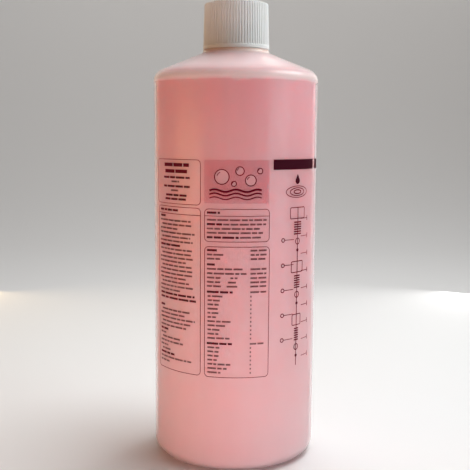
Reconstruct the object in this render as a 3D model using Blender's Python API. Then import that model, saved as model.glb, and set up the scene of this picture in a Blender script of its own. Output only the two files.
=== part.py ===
"""Round one-litre refill bottle of liquid hand soap with a ribbed screw cap.

Metres, +Z up. The origin is the centre of the foot ring, on the surface that the bottle stands on.
The bottle is one blow-moulded shell, filled with soap to the top of its straight wall. The cap is
screwed down over a loose sealing disc, and its skirt ends just above the collar of the neck.
"""

from math import cos, pi, radians, sin, sqrt, tan

import bmesh
import bpy
from mathutils import Matrix, Vector

# Bottle body
BODY_RADIUS = 0.0420
BODY_WALL = 0.0010
HEEL_RADIUS = 0.0072
FOOT_RING_WIDTH = 0.0022
FOOT_EDGE_RADIUS = 0.0040
PUSH_UP_ANGLE = radians(22.0)
SHOULDER_HEIGHT = 0.1935
SHOULDER_RADIUS = 0.0059
CONE_ANGLE = radians(22.0)

# Weld line left across the base where the mould pinched the tube shut
PINCH_LENGTH = 0.0440
PINCH_WIDTH = 0.0007
PINCH_HEIGHT = 0.0004

# Neck: the collar meets the cone, and the finish stands on the collar's ledge
COLLAR_LEDGE = 0.0029
COLLAR_FILLET = 0.0020
FINISH_RADIUS = 0.0139
FINISH_HEIGHT = 0.0195
FINISH_FILLET = 0.0008
BORE_RADIUS = 0.0120
BORE_FILLET = 0.0025
LIP_RADIUS = 0.0006

# Right-hand screw thread, the same section on the neck and in the cap
THREAD_PITCH = 0.0040
THREAD_HEIGHT = 0.0010
THREAD_ROOT_WIDTH = 0.0019
THREAD_CREST_WIDTH = 0.0009
THREAD_START = 0.0024
NECK_THREAD_TURNS = 1.75
CAP_THREAD_TURNS = 1.5
THREAD_RUN_OUT = radians(40.0)

# Soap fill
FILL_LEVEL = 0.1933

# Sealing disc
LINER_THICKNESS = 0.0012
LINER_EDGE = 0.0002

# Cap
CAP_TOP_THICKNESS = 0.0018
CAP_SKIRT_WALL = 0.00165
CAP_TAPER = 0.00065
CAP_TOP_EDGE = 0.0008
CAP_INNER_FILLET = 0.0006
RIM_BAND_HEIGHT = 0.0016
RIM_EDGE = 0.00025
RIB_COUNT = 72
RIB_DEPTH = 0.00038
RIB_SET_BACK = 0.0001
RIB_CREST_SHARE = 0.55
BEAD_HEIGHT = 0.0003
BEAD_WIDTH = 0.0012

# Clearances between pieces
CONTACT_GAP = 0.0003
SKIRT_CLEARANCE = 0.00035
THREAD_CLEARANCE = 0.0003

# How far a ridge reaches into the wall that carries it
RIDGE_ROOT = 0.0004

# Facets
TURN_STEPS = 56
THREAD_STEPS = 30
PINCH_STEPS = 6
ARC_STEP = radians(18.0)
DOME_STEPS = 4

WELD = 1.0e-7
SHARP_ANGLE = radians(32.0)


def arc(centre, radius, start, end):
    """Points (r, z) of an arc round centre, both ends included, from angle start to angle end."""
    steps = max(2, round(abs(end - start) / ARC_STEP))
    angles = [start + (end - start) * i / steps for i in range(steps + 1)]
    return [(centre[0] + radius * cos(a), centre[1] + radius * sin(a)) for a in angles]


def foot_edge_centre():
    """Radius at which the foot ring begins to curl up into the raised base."""
    return BODY_RADIUS - HEEL_RADIUS - FOOT_RING_WIDTH


def dome_circle():
    """Radius and centre height of the raised base's dome, which runs on from the foot ring's edge."""
    radius = (foot_edge_centre() - FOOT_EDGE_RADIUS * sin(PUSH_UP_ANGLE)) / sin(PUSH_UP_ANGLE)
    return radius, FOOT_EDGE_RADIUS - (FOOT_EDGE_RADIUS + radius) * cos(PUSH_UP_ANGLE)


def dome_height(r):
    """Height of the raised base's outer face at radius r."""
    radius, centre = dome_circle()
    return centre + sqrt(radius * radius - r * r)


def foot(depth):
    """The raised base and the foot ring, from the axis outwards, depth inside the outer face."""
    edge = FOOT_EDGE_RADIUS
    edge_centre = foot_edge_centre()
    dome_radius, dome_centre = dome_circle()
    dome = [
        (
            (dome_radius + depth) * sin(PUSH_UP_ANGLE * i / DOME_STEPS),
            dome_centre + (dome_radius + depth) * cos(PUSH_UP_ANGLE * i / DOME_STEPS),
        )
        for i in range(DOME_STEPS)
    ]
    edge_arc = arc((edge_centre, edge), edge - depth, -pi / 2 - PUSH_UP_ANGLE, -pi / 2)
    return dome + edge_arc


def shoulder_end(depth):
    """Where the shoulder arc runs into the cone."""
    reach = SHOULDER_RADIUS - depth
    return (
        BODY_RADIUS - SHOULDER_RADIUS + reach * sin(CONE_ANGLE),
        SHOULDER_HEIGHT + reach * cos(CONE_ANGLE),
    )


def body_side(depth):
    """Heel, straight wall and shoulder, from the foot ring upwards, depth inside the outer face."""
    heel = arc((BODY_RADIUS - HEEL_RADIUS, HEEL_RADIUS), HEEL_RADIUS - depth, -pi / 2, 0.0)
    shoulder_centre = (BODY_RADIUS - SHOULDER_RADIUS, SHOULDER_HEIGHT)
    shoulder = arc(shoulder_centre, SHOULDER_RADIUS - depth, 0.0, pi / 2 - CONE_ANGLE)
    return heel + shoulder


def cone_blend(depth, neck_radius, fillet):
    """The hollow curve from the cone, depth inside its outer face, into an upright neck wall."""
    start_r, start_z = shoulder_end(depth)
    centre_r = neck_radius + fillet
    centre_z = start_z + (start_r - centre_r) * tan(CONE_ANGLE) + fillet / cos(CONE_ANGLE)
    return arc((centre_r, centre_z), fillet, -pi / 2 - CONE_ANGLE, -pi)


def collar_blend():
    """The blend of the outer face from the cone to the collar."""
    return cone_blend(0.0, FINISH_RADIUS + COLLAR_LEDGE, COLLAR_FILLET)


def collar_top():
    """Height of the collar's ledge, which is where the outer blend has become upright."""
    return collar_blend()[-1][1]


def land_height():
    """Height of the neck's mouth."""
    return collar_top() + FINISH_HEIGHT


def liner_bottom():
    return land_height() + CONTACT_GAP


def cap_bottom():
    return collar_top() + SKIRT_CLEARANCE


def cap_ceiling():
    """Height of the underside of the cap's top."""
    return liner_bottom() + LINER_THICKNESS + CONTACT_GAP


def cap_top():
    return cap_ceiling() + CAP_TOP_THICKNESS


def cap_bore_radius():
    """The bore clears the crest of the neck's thread."""
    return FINISH_RADIUS + THREAD_HEIGHT + THREAD_CLEARANCE


def liner_radius():
    return cap_bore_radius() - CONTACT_GAP


def rim_radius():
    return cap_bore_radius() + CAP_SKIRT_WALL


def cut_at(profile, level):
    """The part of a rising profile that lies below level, closed across to the axis."""
    kept = [profile[0]]
    for below, above in zip(profile, profile[1:]):
        if above[1] > level:
            share = (level - below[1]) / (above[1] - below[1])
            kept.append((below[0] + share * (above[0] - below[0]), level))
            break
        kept.append(above)
    return kept + [(0.0, level)]


def turned(name, profile):
    """A mesh turned round Z from (r, z) points that run with the material on their left.

    A profile whose two ends lie on the axis makes a closed body, and one that ends where it began
    makes a ring.
    """
    mesh = bmesh.new()
    points = [mesh.verts.new((r, 0.0, z)) for r, z in profile]
    edges = [mesh.edges.new(pair) for pair in zip(points, points[1:]) if pair[0] is not pair[1]]
    bmesh.ops.spin(
        mesh,
        geom=points + edges,
        cent=(0.0, 0.0, 0.0),
        axis=(0.0, 0.0, 1.0),
        angle=2 * pi,
        steps=TURN_STEPS,
        use_merge=True,
    )
    bmesh.ops.remove_doubles(mesh, verts=mesh.verts[:], dist=WELD)
    bmesh.ops.recalc_face_normals(mesh, faces=mesh.faces[:])
    return finished(name, mesh)


def finished(name, mesh):
    """Stores a bmesh as an object's mesh, shaded smooth across its gentle edges."""
    data = bpy.data.meshes.new(name)
    mesh.to_mesh(data)
    mesh.free()
    data.shade_smooth()
    data.set_sharp_from_angle(angle=SHARP_ANGLE)
    return data


def placed(name, data, height, parent):
    """An object whose own origin is on the bottle's axis at height."""
    data.transform(lift(-height))
    part = bpy.data.objects.new(name, data)
    part.location = (0.0, 0.0, height)
    part.parent = parent
    bpy.context.scene.collection.objects.link(part)
    return part


def lift(height):
    """A matrix that moves by height along Z."""
    return Matrix.Translation(Vector((0.0, 0.0, height)))


def plastic(name, colour, roughness, alpha=1.0):
    """A Principled material of one colour."""
    material = bpy.data.materials.new(name)
    material.use_nodes = True
    shader = material.node_tree.nodes["Principled BSDF"]
    shader.inputs["Base Color"].default_value = (*colour, 1.0)
    shader.inputs["Roughness"].default_value = roughness
    shader.inputs["Metallic"].default_value = 0.0
    shader.inputs["Alpha"].default_value = alpha
    return material


def build_bottle(parent):
    """The blow-moulded shell: outer face up to the mouth, over the lip and down the inner face.

    The neck's thread and the base's weld line are joined to it.
    """
    outer = foot(0.0) + body_side(0.0) + collar_blend()
    ledge = collar_top()
    land = land_height()
    root = arc((FINISH_RADIUS + FINISH_FILLET, ledge + FINISH_FILLET), FINISH_FILLET, -pi / 2, -pi)
    lip_outer = arc((FINISH_RADIUS - LIP_RADIUS, land - LIP_RADIUS), LIP_RADIUS, 0.0, pi / 2)
    lip_inner = arc((BORE_RADIUS + LIP_RADIUS, land - LIP_RADIUS), LIP_RADIUS, pi / 2, pi)
    inner = foot(BODY_WALL) + body_side(BODY_WALL) + cone_blend(BODY_WALL, BORE_RADIUS, BORE_FILLET)
    profile = outer + root + lip_outer + lip_inner + inner[::-1]
    bottle = placed("bottle", turned("bottle", profile), 0.0, parent)
    bottle.data.materials.append(plastic("milky_wall", (0.86, 0.74, 0.74), 0.32, 0.5))
    top = land - THREAD_START
    thread = helical_ridge("neck_thread", FINISH_RADIUS, 1.0, top, NECK_THREAD_TURNS)
    combined(bottle, placed("neck_thread", thread, 0.0, parent), "UNION")
    combined(bottle, placed("pinch_line", pinch_line(), 0.0, parent), "UNION")
    return bottle


def build_soap(parent):
    """The fill, which follows the inside of the bottle up to the liquid level."""
    depth = BODY_WALL + CONTACT_GAP
    inside = foot(depth) + body_side(depth) + cone_blend(depth, BORE_RADIUS, BORE_FILLET)
    soap = placed("soap", turned("soap", cut_at(inside, FILL_LEVEL)), 0.0, parent)
    soap.data.materials.append(plastic("pink_soap", (0.83, 0.36, 0.38), 0.25))
    return soap


def build_liner(parent):
    """The sealing disc, with a small chamfer round both faces."""
    low = liner_bottom()
    high = low + LINER_THICKNESS
    outer = liner_radius()
    rim = outer - LINER_EDGE
    profile = [
        (0.0, low),
        (rim, low),
        (outer, low + LINER_EDGE),
        (outer, high - LINER_EDGE),
        (rim, high),
        (0.0, high),
    ]
    liner = placed("cap_liner", turned("cap_liner", profile), low, parent)
    liner.data.materials.append(plastic("foam_disc", (0.85, 0.85, 0.83), 0.7))
    return liner


def thread_section(root_radius, side, share):
    """The thread's section (r, z) about its own middle, grown to a share of its full height.

    side is 1 for a thread that stands out of its wall and -1 for one that stands inwards. The flanks
    keep their slope and run on into the wall, and at share 0 the crest lies inside it.
    """
    flank = (THREAD_ROOT_WIDTH - THREAD_CREST_WIDTH) / (2 * THREAD_HEIGHT)
    crest = share * (THREAD_HEIGHT + RIDGE_ROOT / 2) - RIDGE_ROOT / 2
    foot_half = THREAD_ROOT_WIDTH / 2 + flank * RIDGE_ROOT
    crest_half = THREAD_ROOT_WIDTH / 2 - flank * crest
    foot_radius = root_radius - side * RIDGE_ROOT
    crest_radius = root_radius + side * crest
    return [
        (foot_radius, -foot_half),
        (crest_radius, -crest_half),
        (crest_radius, crest_half),
        (foot_radius, foot_half),
    ]


def helical_ridge(name, root_radius, side, top, turns):
    """A right-hand thread whose middle starts at height top and runs down, run out at both ends."""
    mesh = bmesh.new()
    sweep = 2 * pi * turns
    steps = round(THREAD_STEPS * turns)
    rings = []
    for i in range(steps + 1):
        angle = sweep * i / steps
        share = min(1.0, angle / THREAD_RUN_OUT, (sweep - angle) / THREAD_RUN_OUT)
        middle = top - THREAD_PITCH * angle / (2 * pi)
        section = thread_section(root_radius, side, share)
        points = [(r * cos(angle), -r * sin(angle), middle + z) for r, z in section]
        rings.append([mesh.verts.new(point) for point in points])
    close_over(mesh, rings)
    return finished(name, mesh)


def cap_thread_top():
    """The cap's thread bears on the underside of the neck's, along its whole length."""
    apart = (THREAD_ROOT_WIDTH + THREAD_CREST_WIDTH) / 2
    steeper = (THREAD_ROOT_WIDTH - THREAD_CREST_WIDTH) * THREAD_CLEARANCE / (2 * THREAD_HEIGHT)
    return land_height() - THREAD_START - apart + steeper - CONTACT_GAP


def pinch_line():
    """A low bar along X that follows the raised base, with its root in the base's wall."""
    mesh = bmesh.new()
    half = PINCH_WIDTH / 2
    rings = []
    for i in range(PINCH_STEPS + 1):
        x = PINCH_LENGTH * (i / PINCH_STEPS - 0.5)
        low = dome_height(x) - PINCH_HEIGHT
        high = dome_height(x) + RIDGE_ROOT
        corners = ((-half, low), (half, low), (half, high), (-half, high))
        rings.append([mesh.verts.new((x, y, z)) for y, z in corners])
    close_over(mesh, rings)
    return finished("pinch_line", mesh)


def close_over(mesh, rings):
    """Joins each ring of points to the next with faces, and closes the first and the last."""
    for here, following in zip(rings, rings[1:]):
        for i in range(len(here)):
            j = (i + 1) % len(here)
            mesh.faces.new((here[i], here[j], following[j], following[i]))
    mesh.faces.new(rings[0][::-1])
    mesh.faces.new(rings[-1])
    bmesh.ops.recalc_face_normals(mesh, faces=mesh.faces[:])


def combined(body, tool, operation):
    """Joins tool to body or cuts body with it, and leaves tool as a helper that isn't a piece."""
    tool.hide_render = True
    tool.display_type = "WIRE"
    step = body.modifiers.new(tool.name, "BOOLEAN")
    step.operation = operation
    step.solver = "EXACT"
    step.object = tool


def rib_ring(mesh, radius, depth, height):
    """One ring of the cap's outer face: two points on each rib's crest and one in each groove."""
    ring = []
    for rib in range(RIB_COUNT):
        for place, drop in ((0.0, 0.0), (RIB_CREST_SHARE, 0.0), ((1.0 + RIB_CREST_SHARE) / 2, depth)):
            angle = 2 * pi * (rib + place - RIB_CREST_SHARE / 2) / RIB_COUNT
            reach = radius - drop
            ring.append(mesh.verts.new((reach * cos(angle), reach * sin(angle), height)))
    return ring


def cap_blank():
    """The cap's outer form as a solid: rim band, tapering ribbed skirt, rounded top edge."""
    mesh = bmesh.new()
    low, high = cap_bottom(), cap_top()
    rim = rim_radius()
    crest_low = rim - RIB_SET_BACK
    crest_high = rim - CAP_TAPER
    edge = CAP_TOP_EDGE
    diagonal = edge * (1 - sqrt(0.5))
    rings = [
        rib_ring(mesh, rim - RIM_EDGE, 0.0, low),
        rib_ring(mesh, rim, 0.0, low + RIM_EDGE),
        rib_ring(mesh, rim, 0.0, low + RIM_BAND_HEIGHT - RIB_SET_BACK),
        rib_ring(mesh, crest_low, RIB_DEPTH, low + RIM_BAND_HEIGHT),
        rib_ring(mesh, crest_high, RIB_DEPTH, high - edge),
        rib_ring(mesh, crest_high - diagonal, RIB_DEPTH / 2, high - diagonal),
        rib_ring(mesh, crest_high - edge, 0.0, high),
    ]
    close_over(mesh, rings)
    return finished("cap", mesh)


def cap_hollow():
    """The cutter for the cap's inside: bore, a low bead that holds the disc, and a rounded ceiling."""
    bore = cap_bore_radius()
    ceiling = cap_ceiling()
    bead_top = liner_bottom() - CONTACT_GAP
    bead_middle = bead_top - BEAD_WIDTH / 2
    fillet = CAP_INNER_FILLET
    profile = [
        (0.0, cap_bottom() - FINISH_HEIGHT / 4),
        (bore + RIM_EDGE, cap_bottom() - FINISH_HEIGHT / 4),
        (bore + RIM_EDGE, cap_bottom()),
        (bore, cap_bottom() + RIM_EDGE),
        (bore, bead_top - BEAD_WIDTH),
        (bore - BEAD_HEIGHT - CONTACT_GAP, bead_middle),
        (bore, bead_top),
    ]
    profile += arc((bore - fillet, ceiling - fillet), fillet, 0.0, pi / 2)
    profile.append((0.0, ceiling))
    return turned("cap_hollow", profile)


def build_cap(parent):
    """The cap: its blank, hollowed by a turned cutter, with the thread joined to the bore."""
    seat = cap_bottom()
    cap = placed("cap", cap_blank(), seat, parent)
    cap.data.materials.append(plastic("cap_plastic", (0.86, 0.86, 0.84), 0.4))
    combined(cap, placed("cap_hollow", cap_hollow(), seat, parent), "DIFFERENCE")
    thread = helical_ridge("cap_thread", cap_bore_radius(), -1.0, cap_thread_top(), CAP_THREAD_TURNS)
    combined(cap, placed("cap_thread", thread, seat, parent), "UNION")
    return cap


def clear_scene():
    for thing in list(bpy.data.objects):
        bpy.data.objects.remove(thing, do_unlink=True)


def main():
    clear_scene()
    pack = bpy.data.objects.new("pack_axis", None)
    bpy.context.scene.collection.objects.link(pack)
    build_bottle(pack)
    build_soap(pack)
    build_liner(pack)
    build_cap(pack)


main()
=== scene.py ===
"""Looks of a round one-litre refill bottle of liquid hand soap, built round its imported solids.

Metres, +Z up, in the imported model's own frame. The bottle is a milky blown shell over a pink pearl
soap, with a dark screen print on its front and a ribbed white cap. The print lies on a flat sheet
first, along the wall and up it, and is then wrapped round the wall.
"""

import logging
from dataclasses import dataclass, field
from enum import Enum
from math import ceil, cos, pi, radians, sin, sqrt, tan
from typing import Callable, Optional, Sequence, Union

import bmesh
import bpy
from mathutils import Matrix, Quaternion, Vector
from mathutils.geometry import tessellate_polygon


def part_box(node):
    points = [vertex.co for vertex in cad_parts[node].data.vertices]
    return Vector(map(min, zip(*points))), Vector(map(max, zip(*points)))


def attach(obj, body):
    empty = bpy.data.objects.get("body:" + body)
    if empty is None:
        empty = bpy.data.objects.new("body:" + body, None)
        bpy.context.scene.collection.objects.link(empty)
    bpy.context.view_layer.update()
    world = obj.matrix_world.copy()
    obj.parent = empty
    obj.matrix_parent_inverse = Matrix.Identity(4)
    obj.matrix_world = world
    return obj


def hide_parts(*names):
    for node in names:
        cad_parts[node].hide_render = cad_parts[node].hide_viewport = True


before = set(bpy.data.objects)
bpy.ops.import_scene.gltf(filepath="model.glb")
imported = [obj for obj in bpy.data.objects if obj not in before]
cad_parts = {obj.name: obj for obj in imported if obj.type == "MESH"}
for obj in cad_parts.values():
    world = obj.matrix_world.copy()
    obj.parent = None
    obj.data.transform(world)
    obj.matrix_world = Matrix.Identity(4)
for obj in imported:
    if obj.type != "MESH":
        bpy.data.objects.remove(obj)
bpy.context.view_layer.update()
LOG = logging.getLogger("refill_bottle")

MM = 0.001
SMOOTH_ANGLE = radians(38.0)
TINY = 1.0e-7
FILLET_STEP = radians(15.0)
DRAWN_STEP = radians(12.0)
Point2 = tuple[float, float]
Point3 = tuple[float, float, float]
Colour = tuple[float, float, float]
Value = Union[float, int, bool, str, tuple, bpy.types.Material, "Wire"]
Sockets = dict[Union[int, str], Value]


class Body(Enum):
    """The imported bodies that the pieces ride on."""

    BOTTLE = "bottle"
    LINER = "liner"
    CAP = "cap"


class Slot(Enum):
    """The record's material slots."""

    WALL = "bottle_wall"
    SOAP = "soap"
    PRINT = "print"
    LINER = "liner"
    CAP = "cap"


@dataclass(frozen=True)
class Setting:
    """How a row of plain bars is set, in millimetres, with the share of the wall that its ink covers."""

    height: float
    shortest: float
    longest: float
    cover: float


class Weight(Enum):
    """The three settings of the print's rows of bars."""

    FINE = Setting(0.86, 1.4, 5.4, 0.60)
    BOLD = Setting(1.00, 2.2, 6.4, 0.86)
    TITLE = Setting(1.70, 4.6, 8.4, 0.94)


def _maths(operation: str, swapped: bool = False) -> Callable[..., "Wire"]:
    """Makes a wire's method for one operation.

    Args:
        operation: The Math node's operation.
        swapped: True where the wire is the operation's second value.

    Returns:
        The method.
    """
    def method(wire: "Wire", other: Value = 0.0) -> "Wire":
        """Adds the Math node."""
        first, second = (other, wire) if swapped else (wire, other)
        return wire.graph.add("ShaderNodeMath", {0: first, 1: second}, operation=operation)

    return method


class Wire:
    """A node's output with arithmetic that adds the matching Math nodes."""

    def __init__(self, graph: "Graph", socket: bpy.types.NodeSocket) -> None:
        """Keeps the graph that new nodes go into, and the output socket."""
        self.graph = graph
        self.socket = socket

    __add__, __radd__ = _maths("ADD"), _maths("ADD", True)
    __sub__, __rsub__ = _maths("SUBTRACT"), _maths("SUBTRACT", True)
    __mul__, __rmul__ = _maths("MULTIPLY"), _maths("MULTIPLY", True)
    __truediv__, __pow__ = _maths("DIVIDE"), _maths("POWER")
    __lt__, __gt__ = _maths("LESS_THAN"), _maths("GREATER_THAN")
    at_most, at_least = _maths("MINIMUM"), _maths("MAXIMUM")
    sine, cosine, arctan2 = _maths("SINE"), _maths("COSINE"), _maths("ARCTAN2")
    rounded_up, fraction, absolute = _maths("CEIL"), _maths("FRACT"), _maths("ABSOLUTE")

    def ramp(self, start: Value, reach: Value) -> "Wire":
        """0 up to a start, 1 from a reach further on, and even between."""
        return ((self - start) / reach).at_least(0.0).at_most(1.0)


class Graph:
    """A node tree while it is being made, for a material or for Geometry Nodes."""

    def __init__(self, tree: bpy.types.NodeTree) -> None:
        """Keeps the tree."""
        self.tree = tree

    def feed(self, node: bpy.types.Node, sockets: Sockets) -> None:
        """Links a wire or gives a value to some of a node's inputs, by their names or places."""
        for key, value in sockets.items():
            if isinstance(value, Wire):
                self.tree.links.new(value.socket, node.inputs[key])
            else:
                node.inputs[key].default_value = value

    def node(self, kind: str, sockets: Optional[Sockets] = None, **settings: object) -> bpy.types.Node:
        """Adds one node.

        Args:
            kind: The node's type.
            sockets: A value or a wire for each input that needs one.
            **settings: The node's own settings, which are set first, because they can change its inputs.

        Returns:
            The node.
        """
        node = self.tree.nodes.new(kind)
        for name, value in settings.items():
            setattr(node, name, value)
        self.feed(node, sockets or {})
        return node

    def add(
        self, kind: str, sockets: Optional[Sockets] = None, output: Union[int, str] = 0, **settings: object
    ) -> Wire:
        """Adds one node and returns one of its outputs."""
        return Wire(self, self.node(kind, sockets, **settings).outputs[output])

    def apart(self, vector: Wire) -> tuple[Wire, ...]:
        """The three numbers of a vector."""
        return tuple(Wire(self, output) for output in self.node("ShaderNodeSeparateXYZ", {0: vector}).outputs)

    def vector(self, x: Value, y: Value, z: Value) -> Wire:
        """A vector of three numbers."""
        return self.add("ShaderNodeCombineXYZ", {0: x, 1: y, 2: z})


class Rule(Graph):
    """A Geometry Nodes tree with named inputs, which turns a seed mesh into a finished one."""

    kinds = {bpy.types.Material: "Material", int: "Int", float: "Float"}

    def __init__(self, name: str, values: dict[str, Value]) -> None:
        """Starts the tree.

        Args:
            name: The tree's name.
            values: The named inputs with their values.
        """
        super().__init__(bpy.data.node_groups.new(name, "GeometryNodeTree"))
        face = self.tree.interface
        for way in ("INPUT", "OUTPUT"):
            face.new_socket(name="Geometry", in_out=way, socket_type="NodeSocketGeometry")
        self.values: dict[str, Value] = {}
        for label, value in values.items():
            kind = next(name for base, name in self.kinds.items() if isinstance(value, base))
            socket = face.new_socket(name=label, in_out="INPUT", socket_type=f"NodeSocket{kind}")
            self.values[socket.identifier] = value
        self.entry = self.tree.nodes.new("NodeGroupInput")

    def __getitem__(self, label: str) -> Wire:
        """The wire of a named input. The seed mesh is under Geometry."""
        return Wire(self, self.entry.outputs[label])

    def attribute(self, name: str) -> Wire:
        """A number that is stored on each point."""
        return self.add("GeometryNodeInputNamedAttribute", {"Name": name}, data_type="FLOAT")

    def stored(self, geometry: Wire, name: str, value: Wire) -> Wire:
        """The geometry with a number stored on each point."""
        sockets = {"Geometry": geometry, "Name": name, "Value": value}
        return self.add("GeometryNodeStoreNamedAttribute", sockets, data_type="FLOAT", domain="POINT")

    def random(self, low: Wire, high: Wire) -> Wire:
        """A random number for each point, by the rule's seed."""
        sockets = {2: low, 3: high, "Seed": self["Seed"]}
        return self.add("FunctionNodeRandomValue", sockets, 1, data_type="FLOAT")

    def position(self) -> tuple[Wire, ...]:
        """The three coordinates of each point."""
        return self.apart(self.add("GeometryNodeInputPosition"))

    def moved(self, geometry: Wire, x: Value, y: Value, z: Value) -> Wire:
        """The geometry with its points at a new position."""
        return self.add("GeometryNodeSetPosition", {"Geometry": geometry, "Position": self.vector(x, y, z)})

    def copied(self, points: Wire, shape: Wire, size: Wire) -> Wire:
        """One mesh with a copy of a shape on each point."""
        sockets = {"Points": points, "Instance": shape, "Scale": size}
        copies = self.add("GeometryNodeInstanceOnPoints", sockets)
        return self.add("GeometryNodeRealizeInstances", {"Geometry": copies})

    def wrapped(self, geometry: Wire, radius: Wire) -> Wire:
        """Bends a flat sheet round the wall.

        Args:
            geometry: Points at (along the wall, up the wall, out of the wall).
            radius: The wall's radius.

        Returns:
            The geometry round +Z, with its middle line on the -Y side.
        """
        along, up, out = self.position()
        angle, reach = along / radius, out + radius
        return self.moved(geometry, reach * angle.sine(), -1.0 * reach * angle.cosine(), up)

    def end(self, geometry: Wire, material: Wire) -> None:
        """Sets the material and closes the tree."""
        dressed = self.add("GeometryNodeSetMaterial", {"Geometry": geometry, "Material": material})
        self.feed(self.tree.nodes.new("NodeGroupOutput"), {0: dressed})

    def grow(self, name: str, seed: bpy.types.Mesh) -> bpy.types.Mesh:
        """Runs the tree on a seed mesh and returns the result as a plain mesh."""
        holder = shown(f"{name}_seed", seed)
        modifier = holder.modifiers.new("rule", "NODES")
        modifier.node_group = self.tree
        for key, value in self.values.items():
            modifier[key] = value
        mesh = baked(holder)
        mesh.name = name
        return mesh


def arc(centre: Point2, radius: float, start: float, end: float, step: float = radians(7.0)) -> list[Point2]:
    """Points of an arc, both ends included.

    Args:
        centre: The arc's centre.
        radius: Its radius.
        start: The angle of its first point.
        end: The angle of its last point.
        step: The largest angle between two points.

    Returns:
        The points in order.
    """
    count = max(2, ceil(abs(end - start) / step))
    angles = [start + (end - start) * i / count for i in range(count + 1)]
    return [(centre[0] + radius * cos(a), centre[1] + radius * sin(a)) for a in angles]


def turned(profile: Sequence[Point2], steps: int) -> bmesh.types.BMesh:
    """A closed body turned round Z.

    Args:
        profile: Points (radius, height) with the material on their left, either with both ends on
            the axis or ending where it began.
        steps: The number of flats round the axis.

    Returns:
        The body as a bmesh with its faces pointing out.
    """
    mesh = bmesh.new()
    rings: list[list[bmesh.types.BMVert]] = []
    for r, z in profile:
        if r < TINY:
            rings.append([mesh.verts.new((0.0, 0.0, z))])
            continue
        angles = [2 * pi * i / steps for i in range(steps)]
        rings.append([mesh.verts.new((r * cos(a), r * sin(a), z)) for a in angles])
    for below, above in zip(rings, rings[1:]):
        for i in range(steps):
            j = (i + 1) % steps
            places = ((below, i), (below, j), (above, j), (above, i))
            corners = [ring[k % len(ring)] for ring, k in places]
            mesh.faces.new(list(dict.fromkeys(corners)))
    bmesh.ops.remove_doubles(mesh, verts=mesh.verts[:], dist=TINY)
    bmesh.ops.recalc_face_normals(mesh, faces=mesh.faces[:])
    return mesh


def smoothed(mesh: bpy.types.Mesh) -> bpy.types.Mesh:
    """Shades a mesh smooth across its gentle edges."""
    mesh.shade_smooth()
    mesh.set_sharp_from_angle(angle=SMOOTH_ANGLE)
    return mesh


def as_mesh(mesh: bmesh.types.BMesh, name: str) -> bpy.types.Mesh:
    """Stores a bmesh as a mesh and frees it."""
    data = bpy.data.meshes.new(name)
    mesh.to_mesh(data)
    mesh.free()
    return data


def shaded(mesh: bmesh.types.BMesh, name: str) -> bpy.types.Mesh:
    """Stores a bmesh, shaded smooth across its gentle edges, and frees it."""
    return smoothed(as_mesh(mesh, name))


def shown(name: str, data: bpy.types.Mesh, *materials: bpy.types.Material) -> bpy.types.Object:
    """Puts a mesh into the scene at the origin, with its materials."""
    piece = bpy.data.objects.new(name, data)
    bpy.context.scene.collection.objects.link(piece)
    for material in materials:
        data.materials.append(material)
    return piece


def baked(piece: bpy.types.Object) -> bpy.types.Mesh:
    """The mesh that an object's modifiers make. The object itself goes."""
    graph = bpy.context.evaluated_depsgraph_get()
    mesh = bpy.data.meshes.new_from_object(piece.evaluated_get(graph), depsgraph=graph)
    piece.modifiers.clear()
    bpy.data.objects.remove(piece, do_unlink=True)
    return mesh


def joined(body: bpy.types.Mesh, tool: bpy.types.Mesh) -> bpy.types.Mesh:
    """Joins two closed meshes into one."""
    carrier = shown(f"{body.name}_carrier", body)
    helper = shown(f"{tool.name}_helper", tool)
    step = carrier.modifiers.new("combine", "BOOLEAN")
    step.operation = "UNION"
    step.solver = "EXACT"
    step.object = helper
    result = baked(carrier)
    bpy.data.objects.remove(helper, do_unlink=True)
    return result


@dataclass(frozen=True)
class Finish:
    """A finish: what every material of the bottle has in common."""

    name: str
    colour: Colour
    roughness: float

    def material(self) -> bpy.types.Material:
        """Makes a Principled material with the finish's detail."""
        material = bpy.data.materials.new(self.name)
        material.use_nodes = True
        graph = Graph(material.node_tree)
        plain = {"Base Color": (*self.colour, 1.0), "Roughness": self.roughness}
        graph.feed(material.node_tree.nodes["Principled BSDF"], {**plain, **self.detail(graph)})
        return material

    def detail(self, graph: Graph) -> Sockets:
        """The finish's own shader inputs. A plain finish has none."""
        return {}

    def place(self, graph: Graph, stretch: Point3 = (1.0, 1.0, 1.0)) -> Wire:
        """Object coordinates, stretched."""
        coordinates = graph.add("ShaderNodeTexCoord", output="Object")
        return graph.add("ShaderNodeMapping", {"Vector": coordinates, "Scale": stretch})

    def noise(self, graph: Graph, scale: float, detail: float = 2.0, squash: float = 1.0) -> Wire:
        """A noise between 0 and 1, whose marks are the taller the smaller the squash is."""
        sockets = {"Vector": self.place(graph, (1.0, 1.0, squash)), "Scale": scale, "Detail": detail}
        return graph.add("ShaderNodeTexNoise", sockets)

    def mixed(self, graph: Graph, share: Wire, low: Union[Colour, Wire], high: Colour) -> Wire:
        """A colour between two, by a share."""
        start = low if isinstance(low, Wire) else (*low, 1.0)
        return graph.add("ShaderNodeMix", {0: share, 6: start, 7: (*high, 1.0)}, 2, data_type="RGBA")

    def uneven(self, noise: Wire, swing: float) -> Wire:
        """The finish's roughness, made uneven by a noise."""
        return self.roughness + (noise - 0.5) * swing

    def bump(self, graph: Graph, height: Wire, depth: float, strength: float) -> Wire:
        """A shader normal from a height."""
        return graph.add("ShaderNodeBump", {"Height": height, "Distance": depth, "Strength": strength})

    def glow(self, weight: float, spread: Colour, depth: float) -> Sockets:
        """The shader inputs of light that goes into the material and comes out beside."""
        return {"Subsurface Weight": weight, "Subsurface Radius": spread, "Subsurface Scale": depth}


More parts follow.
